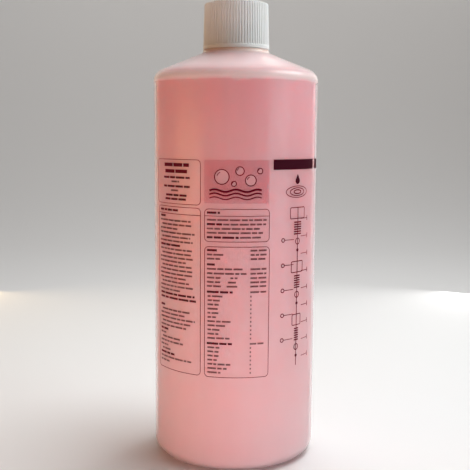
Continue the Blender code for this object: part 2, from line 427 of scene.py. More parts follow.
@dataclass(frozen=True)
class Band:
    """A soft band of heights where the wall looks denser and takes on another colour."""

    middle: float
    reach: float
    cover: float
    colour: Colour
    share: float

    def at(self, height: Wire) -> Wire:
        """1 in the band's middle, 0 past its reach."""
        away = (height - self.middle) / self.reach
        return (1.0 - away * away).at_least(0.0)


@dataclass(frozen=True)
class MilkyWall(Finish):
    """Blown natural polyethylene: milky, satin, and milkier over the soap. It is also milkier towards the
    base, which is painted light that lightens the lower body.

    Its two bands are the soap's film at the liquid line, and a painted shade under the cap: a warm
    brownish-pink tone on the neck's root.
    """

    # Painted light: the alpha falls from the base to the top, so the lower body is lighter, as light from
    # below would make it.
    painted_light_base_alpha: float = 0.42
    painted_light_base_height: float = 0.02
    painted_light_top_alpha: float = 0.24
    painted_light_top_height: float = 0.19
    cloud_alpha: float = 0.08
    cloud_scale: float = 34.0
    gloss_scale: float = 120.0
    flow_scale: float = 150.0
    skin_scale: float = 900.0
    skin_depth: float = 0.12 * MM
    crown_alpha: float = 0.30
    crown_height: float = 0.1960
    crown_reach: float = 0.0040
    faint: Colour = (0.98, 0.79, 0.79)
    film: Band = Band(0.1947, 0.0024, 0.34, (0.99, 0.83, 0.79), 0.75)
    # Painted shade under the cap: the neck's root takes a warm brownish-pink tone where the cap's rim shades
    # it.
    root: Band = Band(0.2090, 0.0022, 0.30, (0.99, 0.72, 0.60), 0.85)

    def detail(self, graph: Graph) -> Sockets:
        """The wall's uneven milkiness with its painted light and painted shade, flow marks and skin."""
        height = graph.apart(self.place(graph))[2]
        cloud = self.noise(graph, self.cloud_scale, 3.0, 0.35)
        # Painted light: milkier, and so lighter, towards the base.
        painted_light_fade = height.ramp(self.painted_light_base_height, self.painted_light_top_height - self.painted_light_base_height)
        alpha = self.painted_light_base_alpha - painted_light_fade * (self.painted_light_base_alpha - self.painted_light_top_alpha)
        alpha = alpha + (cloud - 0.5) * self.cloud_alpha
        alpha = alpha + height.ramp(self.crown_height, self.crown_reach) * self.crown_alpha
        colour = self.mixed(graph, cloud, self.colour, self.faint)
        # The film band is the soap's own; the root band is painted shade under the cap.
        for band in (self.film, self.root):
            share = band.at(height)
            alpha = alpha + share * band.cover
            colour = self.mixed(graph, share * band.share, colour, band.colour)
        flow, skin = self.noise(graph, self.flow_scale, 2.0, 0.18), self.noise(graph, self.skin_scale)
        return {
            "Base Color": colour, "Alpha": alpha.at_most(1.0),
            "Roughness": self.uneven(self.noise(graph, self.gloss_scale), 0.10),
            "Normal": self.bump(graph, flow * 0.8 + skin * 0.2, self.skin_depth, 0.35),
            "Coat Weight": 0.6, "Coat Roughness": 0.10, **self.glow(0.35, (1.0, 0.75, 0.7), 0.004),
        }


@dataclass(frozen=True)
class PearlSoap(Finish):
    """Pink pearl liquid that light goes deep into."""

    deep: Colour = (0.985, 0.265, 0.320)
    cloud_scale: float = 22.0

    def detail(self, graph: Graph) -> Sockets:
        """The pearl's slow clouds and the depth that light reaches."""
        cloud = self.noise(graph, self.cloud_scale, 4.0, 0.5)
        colour = self.mixed(graph, cloud, self.deep, self.colour)
        return {"Base Color": colour, "Specular IOR Level": 0.3, **self.glow(1.0, (1.0, 0.13, 0.11), 0.045)}


@dataclass(frozen=True)
class CapPlastic(Finish):
    """Moulded white polypropylene with a fine spark-eroded grain."""

    patch_scale: float = 180.0
    grain_scale: float = 2600.0
    grain_depth: float = 0.03 * MM

    def detail(self, graph: Graph) -> Sockets:
        """The mould's grain and a faint unevenness of gloss."""
        return {
            "Roughness": self.uneven(self.noise(graph, self.patch_scale), 0.14),
            "Normal": self.bump(graph, self.noise(graph, self.grain_scale), self.grain_depth, 0.5),
            **self.glow(0.25, (1.0, 0.9, 0.8), 0.0012),
        }


@dataclass(frozen=True)
class FoamDisc(Finish):
    """Closed-cell foam with fine pores, which are a little darker than the foam."""

    pore_shade: float = 0.86
    pore_scale: float = 1700.0

    def detail(self, graph: Graph) -> Sockets:
        """The foam's pores."""
        sockets = {"Vector": self.place(graph), "Scale": self.pore_scale}
        cell = graph.add("ShaderNodeTexVoronoi", sockets, "Distance")
        pore = tuple(self.pore_shade * part for part in self.colour)
        colour = self.mixed(graph, cell.at_most(1.0), pore, self.colour)
        return {"Base Color": colour, "Normal": self.bump(graph, cell, 0.0001, 0.6)}


@dataclass(frozen=True)
class ScreenInk(Finish):
    """Screen ink with a slightly uneven film. A tint has fewer dots, so more of the wall shows."""

    cover: float = 1.0
    thinnest: float = 0.86
    swing: float = 0.28
    film_scale: float = 700.0

    def detail(self, graph: Graph) -> Sockets:
        """The film's unevenness and the tint's cover."""
        film = self.noise(graph, self.film_scale)
        alpha = (self.cover * (self.thinnest + film * self.swing)).at_most(1.0)
        return {"Specular IOR Level": 0.05, "Roughness": self.uneven(film, 0.2), "Alpha": alpha}


@dataclass(frozen=True)
class FoamBubble(Finish):
    """The wet skin of a bubble."""

    def detail(self, graph: Graph) -> Sockets:
        """A high gloss, and a little of what is behind."""
        return {"Alpha": 0.95, "Coat Weight": 1.0, "Coat Roughness": 0.05}


@dataclass
class Bottle:
    """The blown shell, the soap in it and the bubbles at its surface."""

    radius: float = 42.0 * MM
    print_room: float = 0.06 * MM
    wall: float = 1.0 * MM
    heel: float = 7.2 * MM
    foot_ring: float = 2.2 * MM
    foot_edge: float = 4.0 * MM
    push_up: float = radians(22.0)
    shoulder_height: float = 193.5 * MM
    shoulder: float = 5.9 * MM
    cone: float = radians(22.0)
    collar_radius: float = 16.8 * MM
    collar_fillet: float = 2.0 * MM
    seat: float = 0.2 * MM
    finish_radius: float = 13.9 * MM
    finish_height: float = 19.5 * MM
    finish_fillet: float = 0.8 * MM
    bore: float = 12.0 * MM
    bore_fillet: float = 2.5 * MM
    lip: float = 0.6 * MM
    fill_level: float = 193.3 * MM
    soap_gap: float = 0.30 * MM
    meniscus: float = 0.77 * MM
    meniscus_reach: float = 3.2 * MM
    meniscus_room: float = 0.2 * MM
    pinch_length: float = 44.0 * MM
    pinch_width: float = 0.7 * MM
    pinch_height: float = 0.4 * MM
    pinch_root: float = 0.4 * MM
    bubble_pitch: float = radians(2.6)
    bubble_sway: float = radians(0.5)
    bubble_gap: float = 0.01 * MM
    bubble_depth: float = 0.35 * MM
    bubble_sizes: Point2 = (0.8 * MM, 1.6 * MM)
    neck_turns: float = 1.75
    steps: int = 256

    @property
    def skin(self) -> float:
        """The radius of the outer face, which leaves room for the print inside the solid's box."""
        return self.radius - self.print_room

    @property
    def foot_inside(self) -> float:
        """The radius where the foot ring's edge begins to rise into the base."""
        return self.skin - self.heel - self.foot_ring

    @property
    def dome(self) -> float:
        """The radius of the raised base's dome."""
        return self.foot_inside / sin(self.push_up) - self.foot_edge

    def foot(self, depth: float) -> list[Point2]:
        """The raised base and the foot ring, from the axis outwards, depth inside the outer face."""
        middle = self.foot_edge - (self.foot_edge + self.dome) * cos(self.push_up)
        raised = arc((0.0, middle), self.dome + depth, pi / 2, pi / 2 - self.push_up, radians(2.0))
        centre = (self.foot_inside, self.foot_edge)
        return raised[:-1] + arc(centre, self.foot_edge - depth, -pi / 2 - self.push_up, -pi / 2)

    def side(self, depth: float) -> list[Point2]:
        """Heel, wall and shoulder, from the foot ring upwards, depth inside the outer face."""
        heel = arc((self.skin - self.heel, self.heel), self.heel - depth, -pi / 2, 0.0)
        centre = (self.skin - self.shoulder, self.shoulder_height)
        return heel + arc(centre, self.shoulder - depth, 0.0, pi / 2 - self.cone)

    def cone_blend(self, depth: float, neck: float, fillet: float) -> list[Point2]:
        """The hollow curve from the cone into an upright neck wall."""
        start_r, start_z = self.side(depth)[-1]
        centre_r = neck + fillet
        centre_z = start_z + (start_r - centre_r) * tan(self.cone) + fillet / cos(self.cone)
        return arc((centre_r, centre_z), fillet, -pi / 2 - self.cone, -pi)

    def ledge(self) -> float:
        """The height of the collar's ledge."""
        return self.cone_blend(0.0, self.collar_radius, self.collar_fillet)[-1][1]

    def land(self) -> float:
        """The height of the mouth."""
        return self.ledge() + self.finish_height

    def shell_mesh(self) -> bpy.types.Mesh:
        """The shell with its neck thread and its weld line, as one closed mesh."""
        ledge, land = self.ledge(), self.land()
        root_centre = (self.finish_radius + self.finish_fillet, ledge + self.seat + self.finish_fillet)
        profile = self.foot(0.0) + self.side(0.0)
        profile += self.cone_blend(0.0, self.collar_radius, self.collar_fillet)
        profile.append((self.collar_radius - self.seat, ledge + self.seat))
        profile += arc(root_centre, self.finish_fillet, -pi / 2, -pi, FILLET_STEP)
        for centre, start in ((self.finish_radius - self.lip, 0.0), (self.bore + self.lip, pi / 2)):
            profile += arc((centre, land - self.lip), self.lip, start, start + pi / 2, FILLET_STEP)
        inner = self.foot(self.wall) + self.side(self.wall)
        inner += self.cone_blend(self.wall, self.bore, self.bore_fillet)
        shell = shaded(turned(profile + inner[::-1], self.steps), "bottle_shell")
        thread = ScrewThread()
        neck = thread.mesh("neck_thread", self.finish_radius, 1.0, land - thread.start, self.neck_turns)
        return smoothed(joined(joined(shell, neck), self.pinch_line()))

    def pinch_line(self) -> bpy.types.Mesh:
        """The weld line under the base, rounded along its crest."""
        crown = self.foot(0.0)[0][1]
        half, deep = self.pinch_width / 2, self.pinch_height / 2
        mesh = bmesh.new()
        rings = []
        steps = 40
        for i in range(steps + 1):
            x = self.pinch_length * (i / steps - 0.5)
            level = crown - self.dome + sqrt(self.dome ** 2 - x * x)
            side = [(half, level + self.pinch_root), (half, level - deep)]
            crest = [(half * cos(a), level - deep + deep * sin(a)) for a in (-0.75 * pi, -pi / 2, -pi / 4)]
            section = [(-y, z) for y, z in side] + crest + side[::-1]
            rings.append([mesh.verts.new((x, y, z)) for y, z in section])
        close_over(mesh, rings)
        return shaded(mesh, "pinch_line")

    def soap_mesh(self) -> bpy.types.Mesh:
        """The soap, which climbs the wall a little all round its surface."""
        depth = self.wall + self.soap_gap
        wall = self.foot(depth) + self.side(depth)[:-1]
        profile = [p for p in wall if p[1] < self.fill_level - self.meniscus_room]
        steps = 8
        for share in (i / steps for i in range(steps + 1)):
            away = self.meniscus_reach * share ** 1.5
            profile.append((self.skin - depth - away, self.fill_level + self.meniscus * (1 - share) ** 2))
        profile.append((0.0, self.fill_level))
        return shaded(turned(profile, self.steps), "soap_fill")

    def bubble_seeds(self) -> bpy.types.Mesh:
        """Where the bubbles lie against the wall, in clusters just under the soap's surface."""
        mesh = bpy.data.meshes.new("bubble_seeds")
        clusters = ((3.8, 5), (16.5, 2), (41.0, 3), (-29.0, 2), (68.0, 4), (-90.0, 6), (140.0, 8), (190.0, 6))
        reach = self.skin - self.wall - self.bubble_gap
        places = []
        for degrees, count in clusters:
            for i in range(count):
                sway = self.bubble_sway * sin(9.0 * i)
                angle = radians(degrees) + self.bubble_pitch * (i - (count - 1) / 2) + sway
                level = self.fill_level - self.bubble_depth * (1 + i % 2)
                places.append((reach * sin(angle), -reach * cos(angle), level))
        mesh.from_pydata(places, [], [])
        return mesh

    def bubbles(self, material: bpy.types.Material) -> bpy.types.Mesh:
        """Bubbles of random sizes that touch the wall at their seeds, as one mesh."""
        smallest, largest = self.bubble_sizes
        rule = Rule("foam_bubbles", {"Smallest": smallest, "Largest": largest, "Seed": 7, "Skin": material})
        sized = rule.stored(rule["Geometry"], "size", rule.random(rule["Smallest"], rule["Largest"]))
        size = rule.attribute("size")
        x, y, z = rule.position()
        inward = 1.0 - size / (x * x + y * y) ** 0.5
        placed = rule.moved(sized, x * inward, y * inward, z)
        ball = rule.add("GeometryNodeMeshIcoSphere", {"Radius": 1.0, "Subdivisions": 3})
        foam = rule.add("GeometryNodeSetShadeSmooth", {"Geometry": rule.copied(placed, ball, size)})
        rule.end(foam, rule["Skin"])
        return rule.grow("foam_bubbles", self.bubble_seeds())

    def build(self) -> None:
        """Builds the shell, the soap and the bubbles, and hands them to the frame."""
        wall = MilkyWall("milky_wall", (0.96, 0.74, 0.74), 0.34).material()
        soap = PearlSoap("pearl_soap", (0.995, 0.355, 0.425), 0.28).material()
        skin = FoamBubble("bubble_skin", (0.99, 0.96, 0.95), 0.12).material()
        shell = shown("bottle_shell", self.shell_mesh(), wall)
        fill = shown("soap_fill", self.soap_mesh(), soap)
        foam = shown("foam_bubbles", self.bubbles(skin))
        for piece, slot in ((shell, Slot.WALL), (fill, Slot.SOAP), (foam, Slot.SOAP)):
            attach(piece, Body.BOTTLE.value)
        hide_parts("bottle")
        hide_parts("soap")
        LOG.info("bottle: shell, soap and bubbles")


def close_over(mesh: bmesh.types.BMesh, rings: Sequence[Sequence[bmesh.types.BMVert]]) -> None:
    """Joins each ring of points to the next, and closes the first and the last."""
    for here, following in zip(rings, rings[1:]):
        for i in range(len(here)):
            j = (i + 1) % len(here)
            mesh.faces.new((here[i], here[j], following[j], following[i]))
    mesh.faces.new(list(rings[0])[::-1])
    mesh.faces.new(list(rings[-1]))
    bmesh.ops.recalc_face_normals(mesh, faces=mesh.faces[:])


@dataclass
class ScrewThread:
    """The thread's section, the same on the neck and in the cap."""

    pitch: float = 4.0 * MM
    height: float = 1.0 * MM
    root_width: float = 1.9 * MM
    crest_width: float = 0.9 * MM
    root: float = 0.4 * MM
    start: float = 2.4 * MM
    clearance: float = 0.3 * MM
    gap: float = 0.3 * MM
    crest_edge: float = 0.22 * MM
    run_out: float = radians(40.0)
    steps: int = 96

    def mesh(self, name: str, wall: float, side: float, top: float, turns: float) -> bpy.types.Mesh:
        """A right-hand thread that starts at a height and runs down, with both ends run out.

        Args:
            name: The mesh's name.
            wall: The radius of the wall that carries it.
            side: 1 for a thread that stands out of its wall, -1 for one that stands inwards.
            top: The height of its first section's middle.
            turns: How many turns it makes.

        Returns:
            The thread as a closed mesh.
        """
        mesh = bmesh.new()
        sweep = 2 * pi * turns
        count = round(self.steps * turns)
        flank = (self.root_width - self.crest_width) / (2 * self.height)
        foot_half = self.root_width / 2 + flank * self.root
        rings = []
        for i in range(count + 1):
            angle = sweep * i / count
            share = min(1.0, angle / self.run_out, (sweep - angle) / self.run_out)
            crest = share * (self.height + self.root / 2) - self.root / 2
            crest_half = self.root_width / 2 - flank * crest
            middle = top - self.pitch * angle / (2 * pi)
            reach = wall + side * crest
            upper = [
                (wall - side * self.root, foot_half),
                (reach - side * self.crest_edge, crest_half + flank * self.crest_edge),
                (reach, crest_half - self.crest_edge / 2),
            ]
            section = [(r, -z) for r, z in upper] + upper[::-1]
            rings.append([mesh.verts.new((r * cos(angle), -r * sin(angle), middle + z)) for r, z in section])
        close_over(mesh, rings)
        return shaded(mesh, name)

    def cap_top(self, land: float) -> float:
        """Where the cap's thread starts, just under the neck's."""
        apart = (self.root_width + self.crest_width) / 2
        steeper = (self.root_width - self.crest_width) * self.clearance / (2 * self.height)
        return land - self.start - apart + steeper - self.gap


@dataclass
class Cap:
    """The ribbed screw cap and its sealing disc."""

    wall: float = 1.65 * MM
    taper: float = 0.65 * MM
    top_thickness: float = 1.8 * MM
    top_edge: float = 0.7 * MM
    inner_fillet: float = 0.6 * MM
    band: float = 1.6 * MM
    band_edge: float = 0.25 * MM
    ribs: int = 72
    rib_depth: float = 0.52 * MM
    # In ribs, with whole ones added so that the fraction is taken of a positive number
    rib_phase: float = 1000.25
    set_back: float = 0.1 * MM
    crest_share: float = 0.48
    rib_run_out: float = 0.35 * MM
    groove_room: float = 0.45 * MM
    groove_end: float = 0.1 * MM
    bead: float = 0.6 * MM
    bead_width: float = 1.2 * MM
    bead_drop: float = 0.3 * MM
    gate: float = 1.1 * MM
    gate_edge: float = 0.15 * MM
    gate_depth: float = 0.18 * MM
    disc_edge: float = 0.2 * MM
    turns: float = 1.5
    skirt_steps: int = 24
    disc_steps: int = 128
    steps_per_rib: int = 10

    def bounds(self) -> tuple[float, float, float]:
        """The rim's radius, the bottom and the top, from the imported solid."""
        low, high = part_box("cap")
        return (high[0] - low[0]) / 2, low[2], high[2]

    def core_profile(self) -> list[Point2]:
        """The cap's section with plain crests, from the middle of its top down the outside."""
        rim, low, high = self.bounds()
        bore, crest_high = rim - self.wall, rim - self.taper
        ceiling = high - self.top_thickness
        bead_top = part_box("cap_liner")[0][2] - self.bead_drop
        skirt_low, skirt_high = low + self.band, high - self.top_edge
        outside = [(0.0, high - self.gate_depth), (self.gate, high - self.gate_depth)]
        outside.append((self.gate + self.gate_edge, high))
        outside += arc((crest_high - self.top_edge, skirt_high), self.top_edge, pi / 2, 0.0, FILLET_STEP)
        for share in (i / self.skirt_steps for i in range(1, self.skirt_steps)):
            crest = crest_high + (rim - self.set_back - crest_high) * share
            outside.append((crest, skirt_high - (skirt_high - skirt_low) * share))
        outside += [(rim - self.set_back, skirt_low), (rim, skirt_low - self.set_back)]
        outside += [(rim, low + self.band_edge), (rim - self.band_edge, low)]
        inside = [(bore + self.band_edge, low), (bore, low + self.band_edge)]
        inside += [(bore, bead_top - self.bead_width)]
        inside += [(bore - self.bead, bead_top - self.bead_width / 2), (bore, bead_top)]
        inside += arc((bore - self.inner_fillet, ceiling - self.inner_fillet), self.inner_fillet, 0.0, pi / 2)
        return (outside + inside + [(0.0, ceiling)])[::-1]

    def rib_rule(self, material: bpy.types.Material) -> Rule:
        """The rule that presses the grooves between the ribs into the plain skirt."""
        rim, low, high = self.bounds()
        rule = Rule("cap_ribs", {
            "Ribs": float(self.ribs), "Depth": self.rib_depth, "Crest Share": self.crest_share,
            "Skirt Radius": rim - self.wall + self.groove_room, "Skirt Bottom": low + self.band,
            "Skirt Top": high - self.groove_end, "Run Out": self.rib_run_out, "Plastic": material,
        })
        x, y, z = rule.position()
        reach = (x * x + y * y) ** 0.5
        turn = y.arctan2(x) * rule["Ribs"] / (2 * pi) + self.rib_phase
        away = (turn.fraction() - 0.5).absolute() * 2.0
        # 0 over the crest, 1 in the middle of the groove
        share = ((away - rule["Crest Share"]) / (1.0 - rule["Crest Share"])).at_least(0.0)
        groove = (share * pi * 0.5).sine()
        outer = reach > rule["Skirt Radius"]
        over = z.ramp(rule["Skirt Bottom"], rule["Run Out"])
        under = (rule["Skirt Top"] - z).ramp(0.0, rule["Run Out"])
        drop = groove * rule["Depth"] * outer * (over ** 0.5) * (under ** 0.5)
        scale = 1.0 - drop / reach.at_least(0.001)
        rule.end(rule.moved(rule["Geometry"], x * scale, y * scale, z), rule["Plastic"])
        return rule

    def shell_mesh(self, material: bpy.types.Material) -> bpy.types.Mesh:
        """The cap with its ribs and its inner thread, as one closed mesh."""
        seed = shaded(turned(self.core_profile(), self.ribs * self.steps_per_rib), "cap_core")
        ribbed = self.rib_rule(material).grow("cap_shell", seed)
        thread = ScrewThread()
        bore, top = self.bounds()[0] - self.wall, thread.cap_top(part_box("bottle")[1][2])
        return smoothed(joined(ribbed, thread.mesh("cap_thread", bore, -1.0, top, self.turns)))

    def disc_mesh(self) -> bpy.types.Mesh:
        """The sealing disc with rounded rims."""
        low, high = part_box("cap_liner")
        edge = self.disc_edge
        middle = (high[0] - low[0]) / 2 - edge
        profile = [(0.0, low[2])] + arc((middle, low[2] + edge), edge, -pi / 2, 0.0, radians(22.5))
        profile += arc((middle, high[2] - edge), edge, 0.0, pi / 2, radians(22.5)) + [(0.0, high[2])]
        return shaded(turned(profile, self.disc_steps), "liner_disc")

    def build(self) -> None:
        """Builds the cap and the disc, and hands them to the frame."""
        plastic = CapPlastic("cap_plastic", (0.82, 0.82, 0.805), 0.42).material()
        foam = FoamDisc("foam_disc", (0.85, 0.85, 0.82), 0.75).material()
        cap = shown("cap_shell", self.shell_mesh(plastic))
        disc = shown("liner_disc", self.disc_mesh(), foam)
        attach(cap, Body.CAP.value)
        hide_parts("cap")
        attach(disc, Body.LINER.value)
        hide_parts("cap_liner")
        LOG.info("cap: ribbed shell and sealing disc")


@dataclass
class Row:
    """One row of plain bars: where it starts and how long it is."""

    along: float
    up: float
    length: float
    weight: Weight = Weight.FINE


@dataclass
class Stroke:
    """A drawn line on the flat sheet, through its points, in millimetres."""

    points: list[Point2]
    closed: bool = False
    width: float = 0.25


@dataclass
class PrintSheet:
    """The screen print: framed columns of plain bars, two picture fields and a figure of simple shapes.

    Each filled shape is its outline, then the outlines of the holes in it.

    Places are in millimetres on the flat sheet: along the wall from the middle of the front, and up
    from the surface that the bottle stands on.
    """

    wall_radius: float = 41.94 * MM
    film: float = 0.045 * MM
    sink: float = 0.015 * MM
    tint_film: float = 0.0162 * MM
    bar_gap: float = 0.62 * MM
    bar_cuts: int = 9
    least_bar: float = 0.4
    ring_steps: int = 24
    corner: float = 2.0
    facet: float = 1.1
    strokes: list[Stroke] = field(default_factory=list)
    rows: list[Row] = field(default_factory=list)
    solids: list[list[list[Point2]]] = field(default_factory=list)
    tints: list[list[list[Point2]]] = field(default_factory=list)

    def split(self, points: Sequence[Point2], closed: bool) -> list[Point2]:
        """The same line with no stretch longer than one facet of the wall."""
        ends = list(points) + ([points[0]] if closed else [])
        out: list[Point2] = [ends[0]]
        for (ax, ay), (bx, by) in zip(ends, ends[1:]):
            count = max(1, ceil(abs(bx - ax) / self.facet))
            shares = [i / count for i in range(1, count + 1)]
            out += [(ax + (bx - ax) * share, ay + (by - ay) * share) for share in shares]
        return out[:-1] if closed else out

    def box(self, left: float, bottom: float, right: float, top: float, corner: float) -> list[Point2]:
        """The outline of a box with round corners."""
        if corner <= 0.0:
            return [(left, bottom), (right, bottom), (right, top), (left, top)]
        low, high, near, far = bottom + corner, top - corner, left + corner, right - corner
        points: list[Point2] = []
        for i, centre in enumerate(((far, low), (far, high), (near, high), (near, low))):
            start = (i - 1) * pi / 2
            points += arc(centre, corner, start, start + pi / 2, DRAWN_STEP)
        return points

    def ring(self, along: float, up: float, radius: float, squash: float = 1.0) -> list[Point2]:
        """The outline of a circle, or of an ellipse."""
        angles = [2 * pi * i / self.ring_steps for i in range(self.ring_steps)]
        return [(along + radius * cos(a), up + squash * radius * sin(a)) for a in angles]

    def drop(self, along: float, up: float, radius: float) -> list[Point2]:
        """The outline of a drop that hangs, round below and pointed above."""
        half, tip = radians(130.0), (along, up + 2.1 * radius)
        return arc((along, up), radius, -pi / 2 - half, -pi / 2 + half, DRAWN_STEP) + [tip]

    def line(self, *points: Point2, width: float = 0.25) -> None:
        """Draws an open line."""
        self.strokes.append(Stroke(list(points), False, width))

    def outline(self, points: list[Point2], width: float = 0.25) -> None:
        """Draws a closed line."""
        self.strokes.append(Stroke(points, True, width))

    def row(self, along: float, up: float, length: float, weight: Weight = Weight.FINE) -> None:
        """Adds a row of bars."""
        self.rows.append(Row(along, up, length, weight))

    def ragged(self, index: int, full: float) -> float:
        """A length for a full row, with an uneven right edge."""
        return full * (0.86 + 0.13 * sin(2.4 * index + 0.7) * cos(0.9 * index))

    def title_box(self) -> None:
        """The box at the top left: two large rows and six small ones, all centred."""
        self.outline(self.box(-48.6, 133.1, -17.0, 154.6, self.corner))
        middle = -32.2
        for up, length, weight in (
            (152.0, 17.6, Weight.TITLE), (148.9, 16.2, Weight.TITLE), (145.9, 18.6, Weight.BOLD),
            (143.9, 5.4, Weight.FINE), (141.6, 18.6, Weight.BOLD), (139.6, 6.2, Weight.FINE),
            (137.3, 14.8, Weight.BOLD), (135.4, 16.0, Weight.BOLD),
        ):
            self.row(middle - length / 2, up, length, weight)

    def directions_box(self) -> None:
        """The tall box at the left: a heading bar, and groups of rows that start bold."""
        left, right, top, rule, start, full = -47.4, -17.0, 131.6, 128.1, -45.2, 26.4
        self.outline(self.box(left, 49.5, right, top, self.corner))
        self.line((left, rule), (right, rule))
        self.row(-45.4, 129.9, 15.0, Weight.BOLD)
        bold = {0: 5.0, 7: 17.0, 19: 25.0, 20: 25.8, 22: 5.4, 28: 7.0, 34: 12.0}
        short = {3: 15.0, 18: 17.0, 21: 0.0, 27: 20.0, 29: 5.0, 30: 16.0, 31: 18.0, 32: 7.0, 33: 9.5, 36: 8.0}
        for i in range(37):
            up = 126.85 - 2.03975 * i
            length = short.get(i, self.ragged(i, full))
            if i in bold:
                self.row(start, up, bold[i], Weight.BOLD)
            elif length > 0.0:
                indent = 1.6 if i % 7 in (2, 5) else 0.0
                self.row(start + indent, up, length - indent)

    def note_box(self) -> None:
        """The low box in the middle: a heading and five rows, two of which start bold."""
        left, right, start, gap = -14.85, 16.9, -13.6, 0.6
        self.outline(self.box(left, 115.9, right, 131.5, self.corner))
        self.line((left, 128.2), (right, 128.2))
        self.row(start, 129.8, 6.4, Weight.BOLD)
        for up, length, lead in (
            (126.4, 29.0, 0.0), (124.3, 28.8, 7.4), (122.2, 25.6, 0.0), (120.2, 27.2, 0.0),
            (118.0, 25.6, 15.4),
        ):
            if lead:
                self.row(start, up, lead, Weight.BOLD)
            self.row(start + lead + (gap if lead else 0.0), up, length - lead)

    def table_box(self) -> None:
        """The tall box in the middle: short rows with a column of figures at the right."""
        self.outline(self.box(-14.8, 49.4, 17.1, 113.45, self.corner))
        start, indent, column = -13.5, 0.3, 7.6
        for up, length in ((111.8, 5.4), (104.9, 4.6), (91.6, 12.6), (66.2, 12.4)):
            self.row(start, up, length, Weight.BOLD)
        for up, length in (
            (109.7, 8.0), (107.7, 7.6), (102.8, 18.4), (100.6, 19.2), (98.5, 6.7), (96.4, 6.7), (94.4, 6.9),
        ):
            self.row(start, up, length)
        for up, along, length in ((98.5, -2.0, 3.4), (96.4, -3.2, 4.4), (94.4, -3.8, 5.2)):
            self.row(along, up, length)
        for up in (111.8, 109.7, 107.7, 102.8, 100.6, 98.5, 96.4, 94.4, 91.6, 66.2):
            self.row(column, up, 8.0)
        for top, pitch, lengths in (
            (89.5, 2.06, (7.4, 6.1, 5.6, 5.6, 5.6, 4.9, 11.4, 9.6, 6.6, 6.6, 10.9)),
            (64.2, 2.07, (6.0, 5.6, 5.6, 5.6, 11.4, 9.6, 6.6)),
        ):
            for i, length in enumerate(lengths):
                self.row(start + indent, top - pitch * i, length)
                self.row(column, top - pitch * i, 0.7)

    def picture_field(self) -> None:
        """The tinted field in the middle, with bare bubbles that rise over parallel waves."""
        bubbles = (
            (-6.4, 146.8, 3.5), (2.2, 149.6, 2.0), (7.4, 145.2, 2.6), (-0.6, 143.6, 1.2), (11.9, 149.6, 1.3),
        )
        holes = [self.ring(*bubble) for bubble in bubbles]
        self.tints.append([self.box(-15.1, 134.2, 16.6, 154.7, 0.0), *holes])
        for along, up, radius in bubbles:
            self.outline(self.ring(along, up, radius), 0.42)
            glint = arc((along, up), radius * 0.66, radians(110.0), radians(170.0), DRAWN_STEP)
            self.line(*glint, width=0.34)
        for k, width in enumerate((0.95, 0.7, 0.5)):
            wave = ((-12.4 + 0.9 * i, 140.3 - 1.8 * k + 0.6 * sin(0.55 * i)) for i in range(29))
            self.line(*wave, width=width)

    def panel_field(self) -> None:
        """The field at the right: a dark band, with a drop and rings under it."""
        for left, right in ((18.8, 49.0), (51.6, 58.0)):
            self.solids.append([self.box(left, 150.1, right, 155.0, 0.0)])
        self.solids.append([self.drop(34.0, 144.6, 1.6)])
        for radius, width in ((2.6, 0.5), (5.2, 0.42), (7.8, 0.34)):
            self.outline(self.ring(34.0, 139.3, radius, 0.36), width)

    def column_figure(self) -> None:
        """The figure at the right: boxes, stacked bars and rings on a line, with rings and ticks beside."""
        axis, top, bottom = 34.6, 131.6, 52.4
        self.line((axis, top), (axis, bottom), width=0.42)
        for k in range(3):
            high = top - 26.6 * k
            half = 5.4 - 1.1 * k
            self.outline(self.box(axis - half, high - 5.4, axis + half, high, 0.6), 0.38)
            for i in range(6):
                up = high - 7.2 - 1.15 * i
                self.line((axis - half * 0.5, up), (axis + half * 0.5, up), width=0.62)
            self.outline(self.ring(axis, high - 16.6, 1.5), 0.42)
            self.solids.append([self.ring(axis, high - 21.0, 0.8)])
        for i in range(5):
            up = 116.0 - 12.4 * i
            self.outline(self.ring(24.8, up, 0.9), 0.42)
            self.line((25.7, up), (axis - 2.8, up), width=0.3)
        for i in range(9):
            up, along = 126.0 - 8.7 * i, 42.8 + 0.3 * i
            self.line((along, up + 1.2), (along, up - 1.2), width=0.42)
            self.line((along, up), (along - 6.0, up), width=0.3)

    def sheet(self, ink: bpy.types.Material) -> dict[str, Value]:
        """What every rule of the print is given: the film, the wall and the ink."""
        return {"Film": self.film, "Sink": self.sink, "Wall Radius": self.wall_radius, "Ink": ink}

